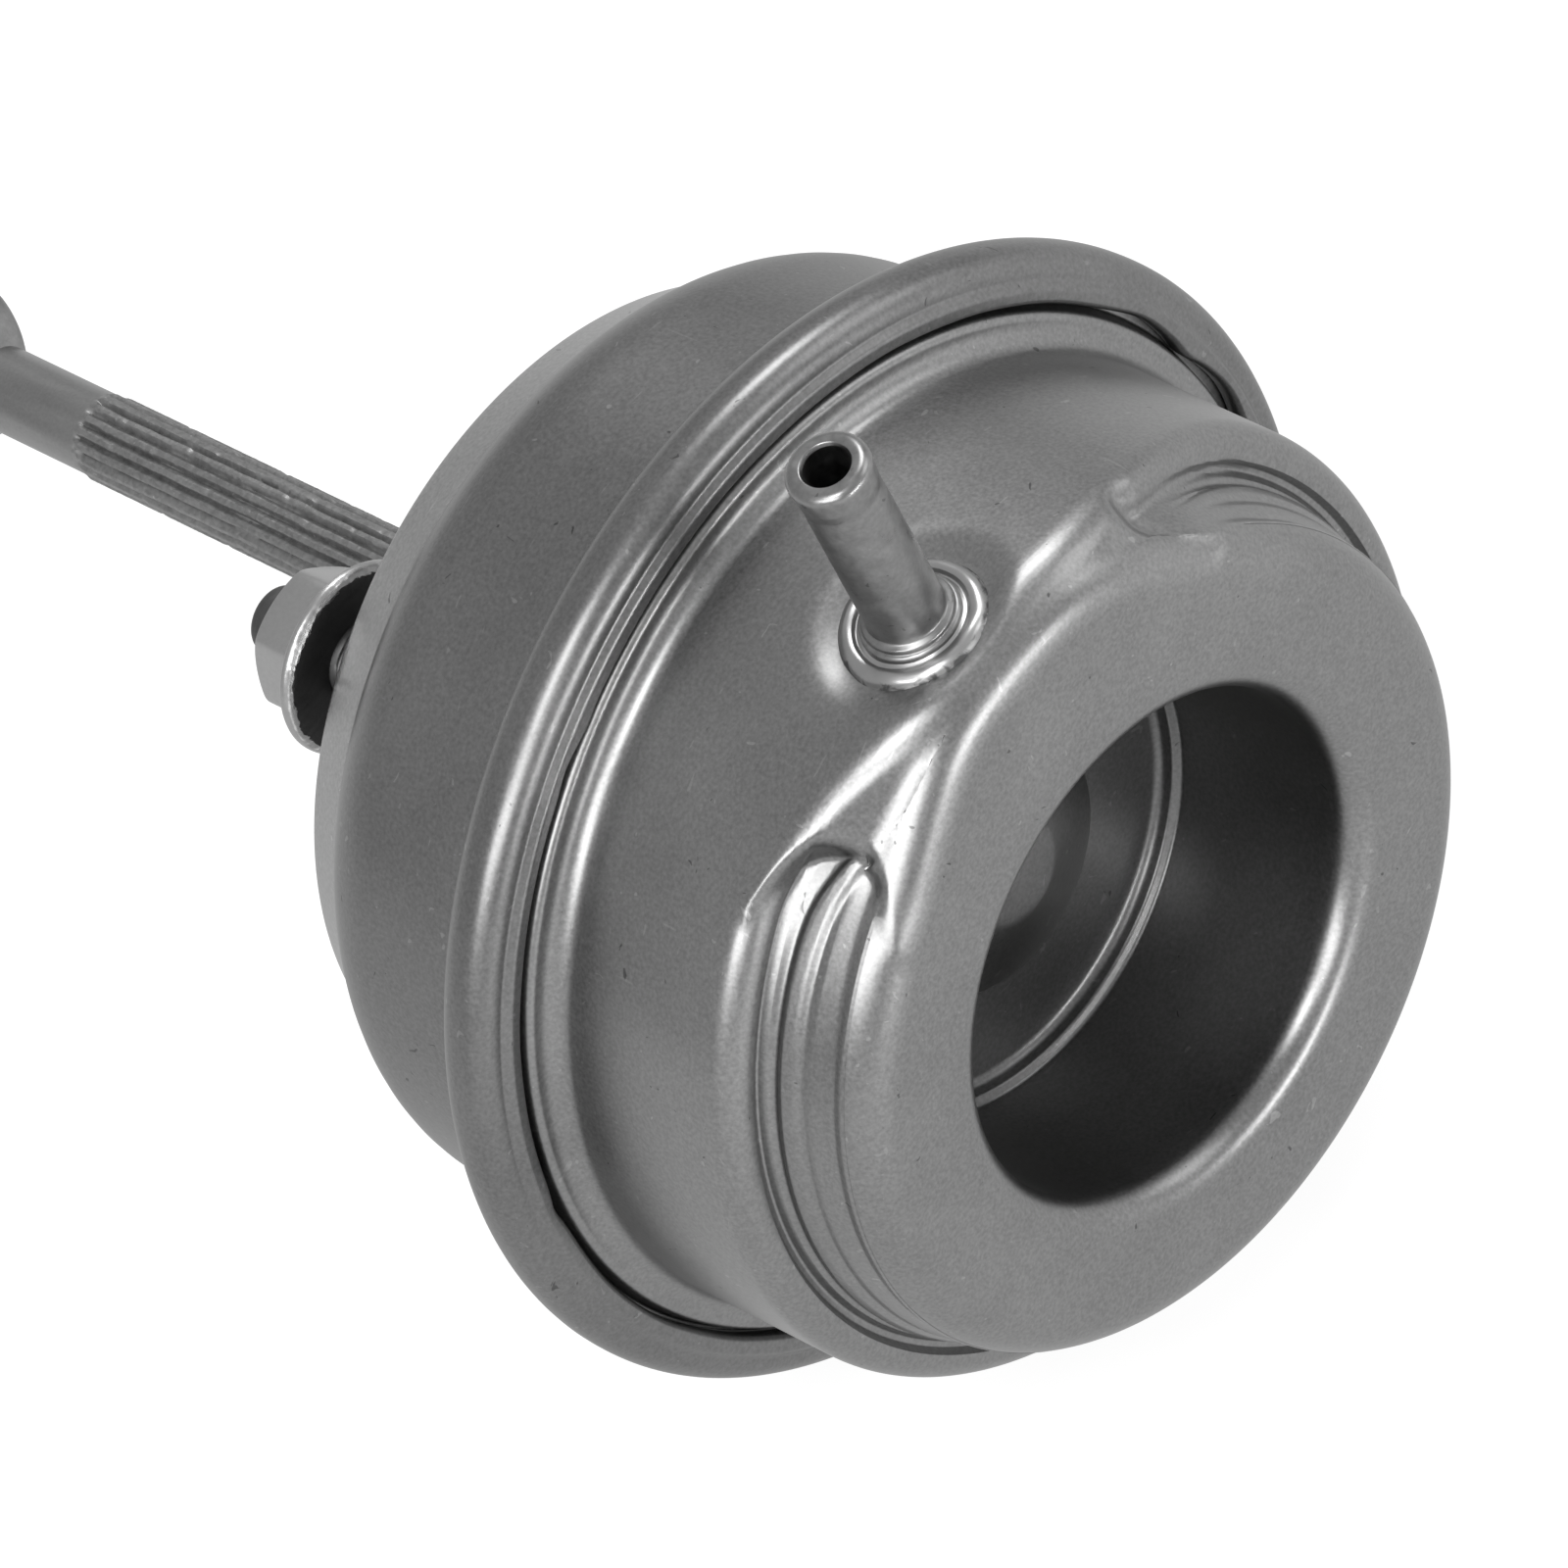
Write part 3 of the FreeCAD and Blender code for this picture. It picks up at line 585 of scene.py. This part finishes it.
def rod_eye():
    """The forged eye: slightly crowned faces, rounded edges, opened bore."""
    outer = [
        (0, eye_bore_r, 0), (eye_half - 0.45, eye_bore_r, 0.1), (eye_half - 0.04, eye_bore_r + 0.42, 0.2),
        (eye_half, 4.1, 1.0), (eye_half - 0.08, eye_r, 0.62), (0, eye_r, 0),
    ]
    half = rounded(outer, 10, 0.4)
    section = np.concatenate([half, (half * (-1, 1))[::-1][1:-1]])
    turns = np.arange(0, 360, 3.0)
    way = (math.sin(eye_turn), 0, math.cos(eye_turn))
    verts = turned((0, eye_y, 0), way, rod_way, turns, section[:, 0], section[None, :, 1])
    return verts, grid_faces(len(turns), len(section), True, True)


def frame_low(node):
    """Low corner of a CAD node's box, in millimetres."""
    return np.array(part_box(node)[0]) / mm


bar_verts, bar_faces = rod_bar()
eye_verts, eye_faces = rod_eye()
shifted_faces = [tuple(i + len(bar_verts) for i in face) for face in eye_faces]
rod = finish_mesh("rod", np.concatenate([bar_verts, eye_verts]), bar_faces + shifted_faces, 45)
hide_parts("actuator_rod")
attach(rod, "plunger")


def coil_spring():
    """The CAD spring's coil as a piece of its own."""
    piece = bpy.data.objects.new("spring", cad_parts["return_spring"].data.copy())
    bpy.context.scene.collection.objects.link(piece)
    return piece


spring = coil_spring()
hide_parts("return_spring")
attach(spring, "canister")
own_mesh(spring)


# Materials
class Tree:
    """A material's node tree with short ways to add and link nodes."""

    def __init__(self, name):
        self.material = bpy.data.materials.new(name)
        self.material.use_nodes = True
        self.nodes, self.links = self.material.node_tree.nodes, self.material.node_tree.links
        self.shader = self.nodes["Principled BSDF"]
        self.where = self.nodes.new("ShaderNodeTexCoord").outputs["Object"]

    def put(self, socket, value):
        """Sets a socket to a value or links it to an output."""
        if isinstance(value, (int, float)):
            socket.default_value = value
        else:
            self.links.new(value, socket)

    def calc(self, kind, *values):
        """A Math node's result."""
        node = self.nodes.new("ShaderNodeMath")
        node.operation = kind
        for socket, value in zip(node.inputs, values):
            self.put(socket, value)
        return node.outputs[0]

    def noise(self, scale, detail=2.0, distortion=0.0, where=None):
        """Noise from 0 to 1 at a scale in waves a metre."""
        node = self.nodes.new("ShaderNodeTexNoise")
        node.inputs["Scale"].default_value = scale
        node.inputs["Detail"].default_value = detail
        node.inputs["Distortion"].default_value = distortion
        self.links.new(where or self.where, node.inputs["Vector"])
        return node.outputs["Fac"]

    def stretched(self, factors, turn=(0, 0, 0)):
        """Object coordinates turned and scaled, for marks that run one way."""
        node = self.nodes.new("ShaderNodeMapping")
        node.inputs["Rotation"].default_value = [math.radians(t) for t in turn]
        node.inputs["Scale"].default_value = factors
        self.links.new(self.where, node.inputs["Vector"])
        return node.outputs["Vector"]

    def step(self, value, low, high):
        """0 below low, 1 above high, soft between."""
        node = self.nodes.new("ShaderNodeMapRange")
        node.interpolation_type = "SMOOTHSTEP"
        node.inputs["From Min"].default_value = low
        node.inputs["From Max"].default_value = high
        self.put(node.inputs["Value"], value)
        return node.outputs["Result"]

    def vary(self, base, noise, amount):
        """Base plus a noise about its middle, times an amount."""
        return self.calc("MULTIPLY_ADD", self.calc("SUBTRACT", noise, 0.5), amount, base)

    def dim(self, value, mask, amount):
        """Value less that share of it where the mask is 1."""
        return self.calc("MULTIPLY", value, self.calc("MULTIPLY_ADD", mask, -amount, 1.0))

    def flip(self, mask):
        """1 where the mask is 0."""
        return self.calc("SUBTRACT", 1.0, mask)

    def radius(self, origin, axis):
        """Distance from an axis-parallel line through origin, in metres, and the split coordinates."""
        split = self.nodes.new("ShaderNodeSeparateXYZ")
        self.links.new(self.where, split.inputs[0])
        parts = [self.calc("SUBTRACT", split.outputs[i], origin[i] * mm) for i in range(3) if i != axis]
        squares = [self.calc("MULTIPLY", part, part) for part in parts]
        return self.calc("SQRT", self.calc("ADD", *squares)), split

    def finish(self, tone, rough, height, strength, distance):
        """Joins grey tone, roughness and bump height to the shader."""
        colour = self.nodes.new("ShaderNodeCombineColor")
        for channel in ("Red", "Green", "Blue"):
            self.put(colour.inputs[channel], tone)
        self.links.new(colour.outputs["Color"], self.shader.inputs["Base Color"])
        self.put(self.shader.inputs["Roughness"], rough)
        bump = self.nodes.new("ShaderNodeBump")
        bump.inputs["Strength"].default_value = strength
        bump.inputs["Distance"].default_value = distance * mm
        self.put(bump.inputs["Height"], height)
        self.links.new(bump.outputs["Normal"], self.shader.inputs["Normal"])
        return self.material


def pressed_steel(name, tone, rough, well=False):
    """Matte pressed sheet: fine grain, soft clouding, specks and short scratches, and painted shade darkening
    the well.
    """
    tree = Tree(name)
    tree.shader.inputs["Metallic"].default_value = 1.0
    grain = tree.noise(4200, 4)
    cloud = tree.noise(95, 4, 0.6)
    patch = tree.noise(28, 2)
    dark_specks = tree.step(tree.noise(760, 2, 1.5), 0.735, 0.765)
    light_specks = tree.step(tree.noise(1150, 1, 0.8), 0.755, 0.78)
    scratch_a = tree.step(tree.noise(160, 2, 0.4, tree.stretched((1.0, 14.0, 6.0), (20, 35, 10))), 0.73, 0.75)
    scratch_b = tree.step(tree.noise(130, 2, 0.3, tree.stretched((12.0, 1.0, 9.0), (50, 10, 70))), 0.74, 0.76)
    scratches = tree.calc("MAXIMUM", scratch_a, scratch_b)
    value = tree.vary(tone, grain, tone * 0.7)
    value = tree.vary(value, cloud, tone * 0.28)
    value = tree.vary(value, patch, tone * 0.2)
    value = tree.dim(value, dark_specks, 0.5)
    value = tree.calc("MULTIPLY_ADD", light_specks, tone * 0.35, value)
    value = tree.calc("MULTIPLY_ADD", scratches, tone * 0.22, value)
    if well:
        # Painted shade: the wall and floor of the well are darkened by a third, standing in for the shade
        # inside it.
        away, split = tree.radius((0, 0, 0), 1)
        inside = tree.flip(tree.step(away, 15.0 * mm, 16.4 * mm))
        well_shade_depth = tree.step(split.outputs[1], -(lip_to_mount + 20.2) * mm, -(lip_to_mount + 17.5) * mm)
        value = tree.dim(value, tree.calc("MULTIPLY", inside, well_shade_depth), 0.34)
    soft = tree.vary(rough, cloud, 0.16)
    soft = tree.vary(soft, grain, 0.10)
    pitted = tree.calc("SUBTRACT", grain, tree.calc("MULTIPLY", dark_specks, 1.2))
    height = tree.calc("MULTIPLY_ADD", scratches, -0.6, pitted)
    return tree.finish(value, soft, height, 0.22, 0.006)


def drawn_steel(name, tone, rough):
    """A turned or drawn surface: mottled and pitted, with rubbed bright spots."""
    tree = Tree(name)
    tree.shader.inputs["Metallic"].default_value = 1.0
    grain = tree.noise(3600, 4)
    blotch = tree.noise(620, 3, 1.2)
    bright = tree.step(tree.noise(900, 2, 1.0), 0.70, 0.80)
    pits = tree.step(tree.noise(1300, 2, 0.5), 0.68, 0.74)
    value = tree.vary(tone, blotch, tone * 0.5)
    value = tree.vary(value, grain, tone * 0.4)
    value = tree.calc("MULTIPLY_ADD", bright, tone * 0.35, value)
    value = tree.dim(value, pits, 0.4)
    soft = tree.vary(rough, blotch, 0.3)
    height = tree.calc("MULTIPLY_ADD", pits, -0.8, tree.calc("ADD", grain, blotch))
    return tree.finish(value, soft, height, 0.25, 0.008)


def braze_metal(name, tone, rough):
    """Smooth filler metal, bright on top, scaled and dark at its ragged outer edge."""
    tree = Tree(name)
    tree.shader.inputs["Metallic"].default_value = 1.0
    away, _ = tree.radius((0, nipple_y, 0), 2)
    blotch = tree.noise(900, 3, 1.0)
    ragged = tree.vary(away, blotch, 0.9 * mm)
    scale = tree.step(ragged, 4.18 * mm, 4.42 * mm)
    value = tree.vary(tone, tree.noise(400, 3), 0.25)
    value = tree.dim(value, scale, 0.75)
    soft = tree.calc("MULTIPLY_ADD", scale, 0.35, tree.calc("MULTIPLY_ADD", blotch, 0.12, rough))
    return tree.finish(value, soft, tree.calc("ADD", blotch, tree.noise(2600, 3)), 0.18, 0.005)


def rough_steel(name, tone, rough):
    """The rod: drawn bar with a crushed, grainy knurl and a forged eye."""
    tree = Tree(name)
    tree.shader.inputs["Metallic"].default_value = 1.0
    _, split = tree.radius((0, 0, 0), 1)
    along_rod = split.outputs[1]
    knurl_start = tree.step(along_rod, (knurl_from - 0.2) * mm, (knurl_from + 0.4) * mm)
    knurl_end = tree.step(along_rod, (knurl_to - 0.3) * mm, (knurl_to + 0.1) * mm)
    knurled = tree.calc("MULTIPLY", knurl_start, tree.flip(knurl_end))
    grain = tree.noise(2600, 5, 0.8)
    fine = tree.noise(5200, 3)
    streak = tree.noise(700, 3, 0.4, tree.stretched((1.0, 0.12, 1.0)))
    glints = tree.calc("MULTIPLY", tree.step(tree.noise(2100, 1), 0.72, 0.77), knurled)
    value = tree.vary(tone, streak, tone * 0.6)
    value = tree.vary(value, fine, tone * 0.3)
    crushed = tree.calc("MULTIPLY", knurled, tree.calc("SUBTRACT", grain, 0.5))
    value = tree.calc("MULTIPLY_ADD", crushed, tone * 0.9, value)
    value = tree.calc("MULTIPLY_ADD", glints, tone * 0.5, value)
    soft = tree.calc("MULTIPLY_ADD", knurled, 0.08, rough)
    height = tree.calc("MULTIPLY_ADD", knurled, tree.calc("MULTIPLY", grain, 6.0), fine)
    return tree.finish(value, soft, height, 0.35, 0.006)


def zinc_nut(name, node, tone, rough):
    """Zinc-plated nut: smooth grey flats, a brushed seat darkened as painted shade, and a burred edge
    brightened as a painted highlight.
    """
    tree = Tree(name)
    tree.shader.inputs["Metallic"].default_value = 1.0
    centre = node_centre(node)
    away, split = tree.radius(centre, 1)
    past_face = tree.step(split.outputs[1], (bracket_gap + 0.14) * mm, (bracket_gap + 0.22) * mm)
    near_face = tree.flip(past_face)
    ragged = tree.vary(away, tree.noise(1100, 3, 1.0), 0.7 * mm)
    outside = tree.step(ragged, 5.33 * mm, 5.40 * mm)
    seat = tree.calc("MULTIPLY", near_face, tree.flip(outside))
    edge = tree.calc("MULTIPLY", near_face, outside)
    brush = tree.noise(900, 3, 0.5, tree.stretched((0.25, 1.0, 1.6), (0, 35, 0)))
    grain = tree.noise(4200, 3)
    value = tree.vary(tone, grain, tone * 0.2)
    # Painted shade: the seat face is darkened to less than a fifth, and the real brush marks stay faint on
    # it.
    value = tree.dim(value, seat, 0.82)
    value = tree.calc("MULTIPLY_ADD", tree.calc("MULTIPLY", seat, brush), 0.05, value)
    # Painted highlight: the burred edge is made lighter.
    value = tree.calc("MULTIPLY_ADD", edge, 0.3, value)
    soft = tree.calc("MULTIPLY_ADD", seat, 0.15, tree.calc("MULTIPLY_ADD", edge, -0.1, rough))
    height = tree.calc("MULTIPLY_ADD", seat, tree.calc("MULTIPLY", brush, 3.0), grain)
    return tree.finish(value, soft, height, 0.35, 0.015)


def plain_look(name, tone, rough, metallic):
    """A rubber, bronze or dark steel surface with fine grain and soft blotches."""
    tree = Tree(name)
    tree.shader.inputs["Metallic"].default_value = metallic
    grain, blotch = tree.noise(3000, 3), tree.noise(260, 3, 0.5)
    value = tree.vary(tone, blotch, tone * 0.5)
    value = tree.vary(value, grain, tone * 0.3)
    soft = tree.vary(rough, blotch, 0.2)
    return tree.finish(value, soft, grain, 0.3, 0.015)


def wear(piece, look):
    """Gives a piece one material."""
    piece.data.materials.clear()
    piece.data.materials.append(look)


wear(front, pressed_steel("front_can_look", 0.30, 0.35, well=True))
wear(rear, pressed_steel("rear_can_look", 0.235, 0.36))
wear(disc, pressed_steel("disc_look", 0.40, 0.33))
wear(nipple, drawn_steel("nipple_look", 0.30, 0.33))
wear(braze, braze_metal("braze_look", 0.46, 0.26))
wear(rod, rough_steel("rod_look", 0.30, 0.36))
stud_look = plain_look("stud_look", 0.12, 0.48, 1.0)
for side_stud, side_nut, side in zip(studs, nuts, ("upper", "lower")):
    wear(side_stud, stud_look)
    wear(side_nut, zinc_nut(side + "_nut_look", "nut_" + side, 0.45, 0.34))
plated = pressed_steel("plated_look", 0.42, 0.32)
inner_looks = {
    "diaphragm_retainer": plated,
    "piston_cup": plated,
    "backing_washer": plated,
    "spring_seat": plated,
    "wiper_washer": plated,
    "diaphragm": plain_look("rubber_look", 0.03, 0.7, 0.0),
    "guide_bush": plain_look("bronze_look", 0.35, 0.4, 1.0),
    "rod_wiper": plain_look("seal_look", 0.04, 0.5, 0.0),
}
wear(spring, plain_look("spring_look", 0.14, 0.34, 1.0))
for node, look in inner_looks.items():
    wear(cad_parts[node], look)


# Floor, light and camera
def plane(name, size, centre):
    """A flat square, facing up."""
    half = size / 2
    corners = [(-half, -half, 0), (half, -half, 0), (half, half, 0), (-half, half, 0)]
    mesh = bpy.data.meshes.new(name)
    mesh.from_pydata([tuple(Vector(c) + Vector(centre)) for c in corners], [], [(0, 1, 2, 3)])
    piece = bpy.data.objects.new(name, mesh)
    bpy.context.scene.collection.objects.link(piece)
    return piece


floor_z = -0.0345
floor_size = 6.0
camera_glow = 1.2
shadow_share = 0.3
painted_shadow_glow, far_glow = 0.74, 1.0
near_reach, far_reach = 0.09, 0.16


def pale_floor():
    """White to the camera with a soft shadow left in it; metal sees it dimmer close to the object, a painted
    shadow in its reflections.
    """
    tree = Tree("pale_floor")
    tree.shader.inputs["Base Color"].default_value = (0.9, 0.9, 0.9, 1)
    tree.shader.inputs["Roughness"].default_value = 0.9
    glow = tree.nodes.new("ShaderNodeEmission")
    ray = tree.nodes.new("ShaderNodeLightPath").outputs
    split = tree.nodes.new("ShaderNodeSeparateXYZ")
    tree.links.new(tree.where, split.inputs[0])
    # Painted shadow for reflections: the glow that metal sees is dimmer near the object.
    ahead = tree.step(tree.calc("MULTIPLY", split.outputs[1], -1.0), near_reach, far_reach)
    ramp_up = tree.calc("MULTIPLY_ADD", ahead, far_glow - painted_shadow_glow, painted_shadow_glow)
    seen = ray["Is Camera Ray"]
    mirrored = tree.calc("MAXIMUM", ray["Is Glossy Ray"], ray["Is Transmission Ray"])
    strength = tree.calc("MULTIPLY_ADD", seen, camera_glow, tree.calc("MULTIPLY", mirrored, ramp_up))
    tree.links.new(strength, glow.inputs["Strength"])
    choice = tree.nodes.new("ShaderNodeMixShader")
    tree.links.new(tree.calc("MULTIPLY_ADD", seen, 1 - shadow_share, mirrored), choice.inputs["Fac"])
    tree.links.new(tree.shader.outputs["BSDF"], choice.inputs[1])
    tree.links.new(glow.outputs["Emission"], choice.inputs[2])
    tree.links.new(choice.outputs["Shader"], tree.nodes["Material Output"].inputs["Surface"])
    return tree.material


floor = plane("floor", floor_size, (0, 0, floor_z))
floor.data.materials.append(pale_floor())

world_strength = 0.5
world = bpy.data.worlds.new("studio")
bpy.context.scene.world = world
world.use_nodes = True
background = world.node_tree.nodes["Background"].inputs
background["Color"].default_value = (1, 1, 1, 1)
background["Strength"].default_value = world_strength


def softbox(name, direction, distance, size, power, target=(0, -0.03, 0)):
    """A rectangular lamp that stands off from the target in a direction and faces it."""
    data = bpy.data.lights.new(name, "AREA")
    data.shape = "RECTANGLE"
    data.size, data.size_y = size
    data.energy = power
    lamp = bpy.data.objects.new(name, data)
    bpy.context.scene.collection.objects.link(lamp)
    way = Vector(direction).normalized()
    lamp.location = Vector(target) + way * distance
    lamp.rotation_euler = way.to_track_quat("Z", "Y").to_euler()
    return lamp


softbox("front_low", (0.1, -1.0, 0.0), 0.8, (0.5, 0.06), 1.5, (0, -0.03, 0.01))
softbox("overhead", (-0.37, -0.31, 0.87), 1.0, (0.3, 0.3), 3.0)
softbox("left_side", (-0.71, -0.38, 0.55), 1.0, (0.7, 0.3), 4.1)
softbox("right_back", (0.64, 0.18, 0.75), 1.0, (0.35, 0.35), 2.6)
softbox("right_fill", (0.8, -0.5, 0.45), 1.0, (0.5, 0.5), 1.2)

camera_place = Vector((-0.246348, -0.529217, 0.641718))
view_right = Vector((0.599615, -0.72031, -0.348735))
view_up = Vector((0.74756, 0.348576, 0.565375))
view_ahead = Vector((0.285685, 0.599708, -0.747486))
camera_data = bpy.data.cameras.new("camera")
camera_data.lens = 349.4
camera_data.sensor_width = 36
camera_data.clip_start = 0.01
camera_data.clip_end = 50
camera = bpy.data.objects.new("camera", camera_data)
bpy.context.scene.collection.objects.link(camera)
camera.matrix_world = Matrix((
    (view_right.x, view_up.x, -view_ahead.x, camera_place.x),
    (view_right.y, view_up.y, -view_ahead.y, camera_place.y),
    (view_right.z, view_up.z, -view_ahead.z, camera_place.z),
    (0, 0, 0, 1)))
bpy.context.scene.camera = camera
bpy.context.scene.view_settings.view_transform = "Standard"
